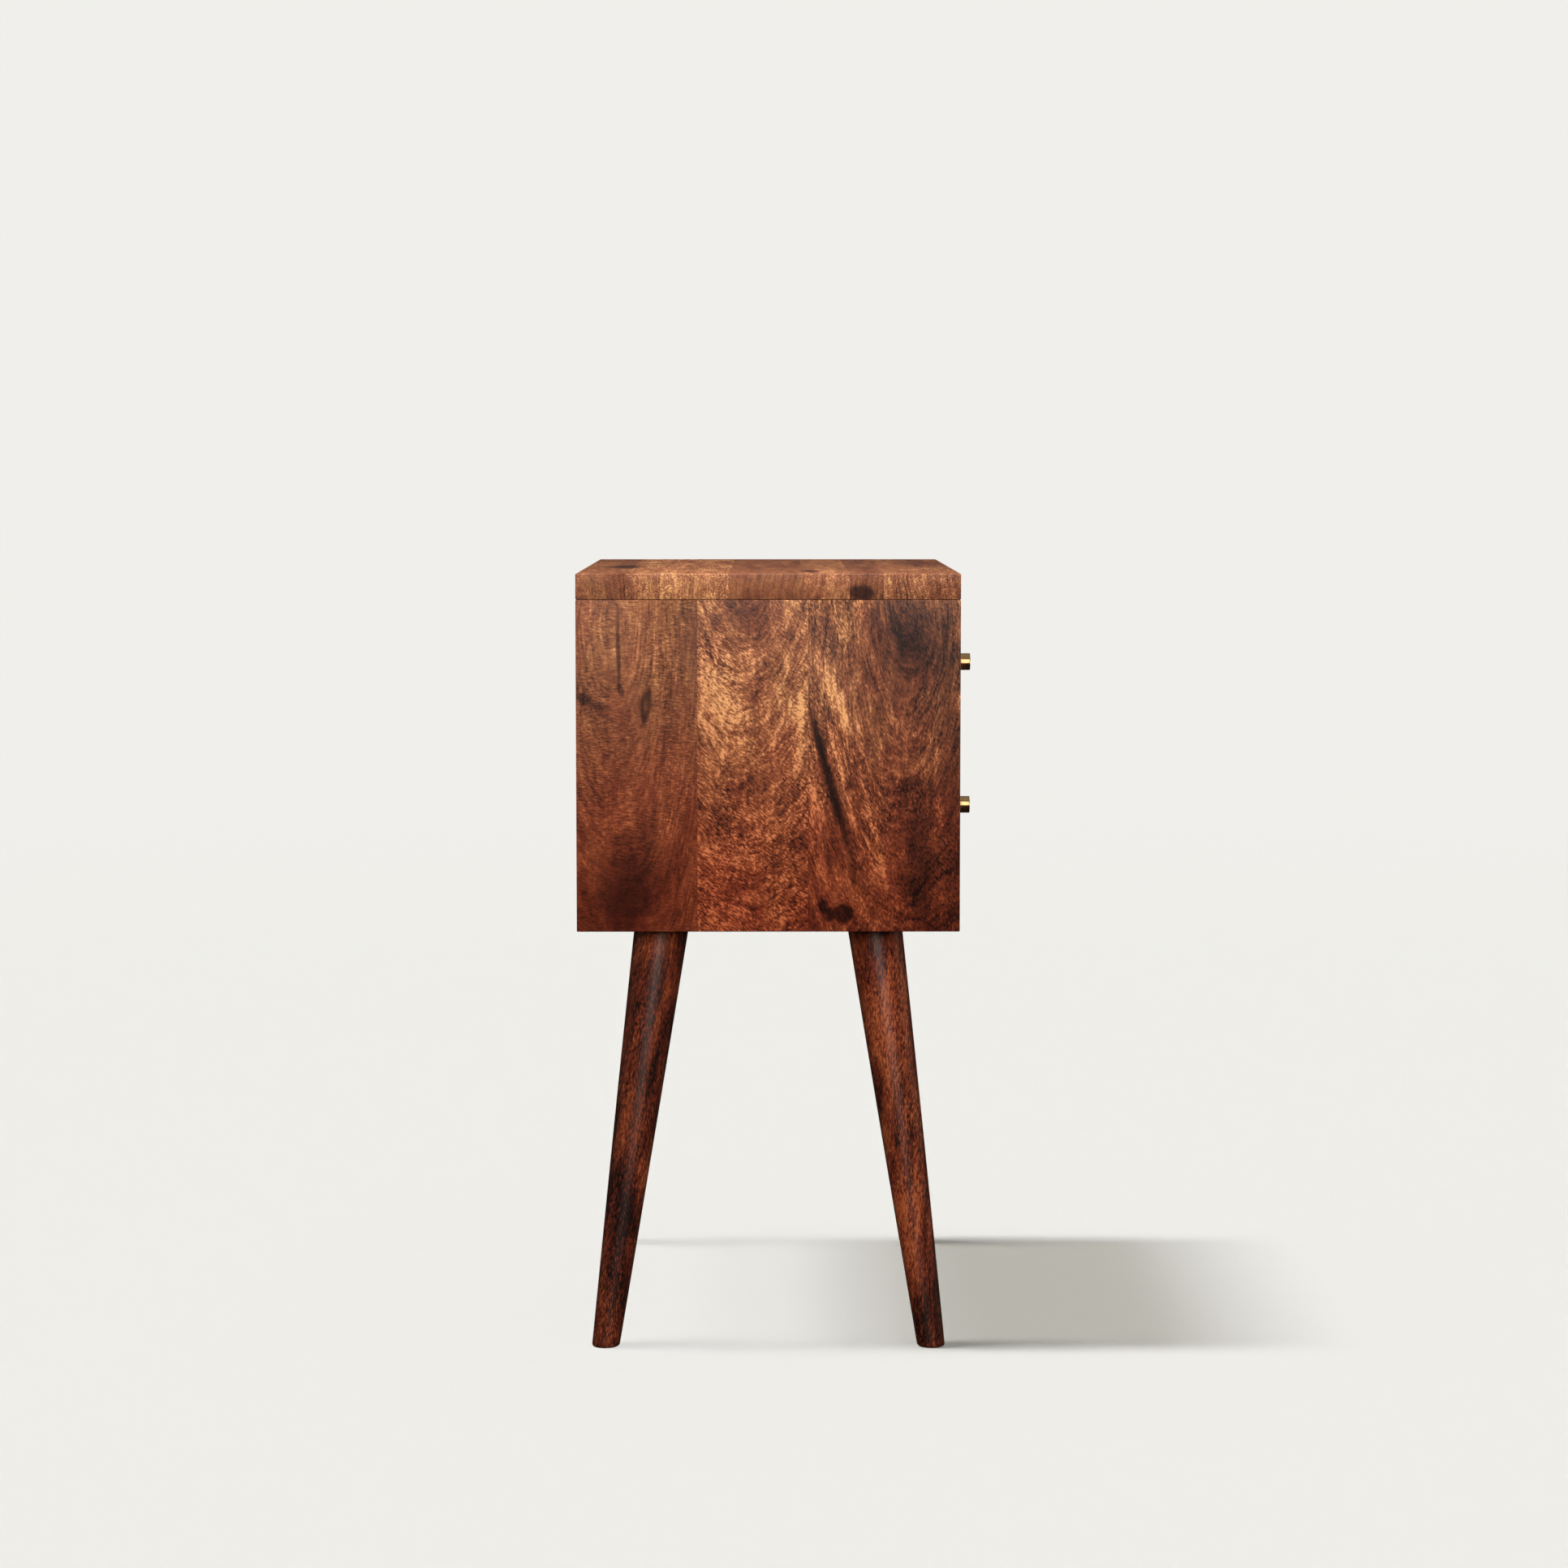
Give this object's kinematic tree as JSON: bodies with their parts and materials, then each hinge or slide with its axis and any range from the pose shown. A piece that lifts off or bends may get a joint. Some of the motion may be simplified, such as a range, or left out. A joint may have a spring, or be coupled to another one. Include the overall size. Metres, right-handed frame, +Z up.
{
  "type": "nightstand",
  "caption": "Wooden nightstand: a box with sliding drawers, small round brass knobs and splayed, tapered, turned legs.",
  "frame": {"origin": "on the floor, under the middle of the whole piece with its knobs", "axes": "+Z up, -Y the way the drawer fronts face, X along the width"},
  "size_m": [0.45, 0.319, 0.614],
  "materials": {
    "chestnut_wood": "solid mango wood, chestnut stain, satin lacquer",
    "leg_wood": "turned mango wood, dark chestnut stain, satin lacquer",
    "drawer_wood": "plain sanded wood, waxed",
    "plywood": "thin plywood, sealed",
    "brass": "satin turned brass",
    "steel": "zinc plated"
  },
  "bodies": {
    "carcass": {"top_panel": "chestnut_wood", "bottom_panel": "chestnut_wood", "middle_rail": "chestnut_wood", "top_strip": "chestnut_wood", "side_panel_left": "chestnut_wood", "side_panel_right": "chestnut_wood", "back_panel": "plywood", "dowel_left_1": "drawer_wood", "dowel_left_2": "drawer_wood", "dowel_left_3": "drawer_wood", "runner_lower_left": "drawer_wood", "runner_upper_left": "drawer_wood", "dowel_right_1": "drawer_wood", "dowel_right_2": "drawer_wood", "dowel_right_3": "drawer_wood", "runner_lower_right": "drawer_wood", "runner_upper_right": "drawer_wood", "leg_front_left": "leg_wood", "leg_plate_front_left": "steel", "leg_bolt_front_left": "steel", "plate_screw_front_left_1": "steel", "plate_screw_front_left_2": "steel", "plate_screw_front_left_3": "steel", "leg_front_right": "leg_wood", "leg_plate_front_right": "steel", "leg_bolt_front_right": "steel", "plate_screw_front_right_1": "steel", "plate_screw_front_right_2": "steel", "plate_screw_front_right_3": "steel", "leg_rear_left": "leg_wood", "leg_plate_rear_left": "steel", "leg_bolt_rear_left": "steel", "plate_screw_rear_left_1": "steel", "plate_screw_rear_left_2": "steel", "plate_screw_rear_left_3": "steel", "leg_rear_right": "leg_wood", "leg_plate_rear_right": "steel", "leg_bolt_rear_right": "steel", "plate_screw_rear_right_1": "steel", "plate_screw_rear_right_2": "steel", "plate_screw_rear_right_3": "steel"},
    "drawer_lower": {"drawer_front_lower": "chestnut_wood", "drawer_side_lower_left": "drawer_wood", "drawer_side_lower_right": "drawer_wood", "drawer_back_lower": "drawer_wood", "drawer_bottom_lower": "plywood", "knob_lower": "brass", "knob_screw_lower": "steel", "stop_screw_lower": "steel"},
    "stop_button_lower": {"stop_button_lower": "drawer_wood"},
    "drawer_upper": {"drawer_front_upper": "chestnut_wood", "drawer_side_upper_left": "drawer_wood", "drawer_side_upper_right": "drawer_wood", "drawer_back_upper": "drawer_wood", "drawer_bottom_upper": "plywood", "knob_upper": "brass", "knob_screw_upper": "steel", "stop_screw_upper": "steel"},
    "stop_button_upper": {"stop_button_upper": "drawer_wood"}
  },
  "joints": [
    {"name": "drawer_lower_slide", "type": "slide", "parent": "carcass", "child": "drawer_lower", "axis": [0, -1, 0], "range_m": [0, 0.185]},
    {"name": "stop_button_lower_turn", "type": "hinge", "parent": "drawer_lower", "child": "stop_button_lower", "pos_m": [0, 0.1222, 0.449], "axis": [0, -1, 0], "range_deg": [0, 90]},
    {"name": "drawer_upper_slide", "type": "slide", "parent": "carcass", "child": "drawer_upper", "axis": [0, -1, 0], "range_m": [0, 0.185]},
    {"name": "stop_button_upper_turn", "type": "hinge", "parent": "drawer_upper", "child": "stop_button_upper", "pos_m": [0, 0.1222, 0.569], "axis": [0, -1, 0], "range_deg": [0, 90]}
  ]
}
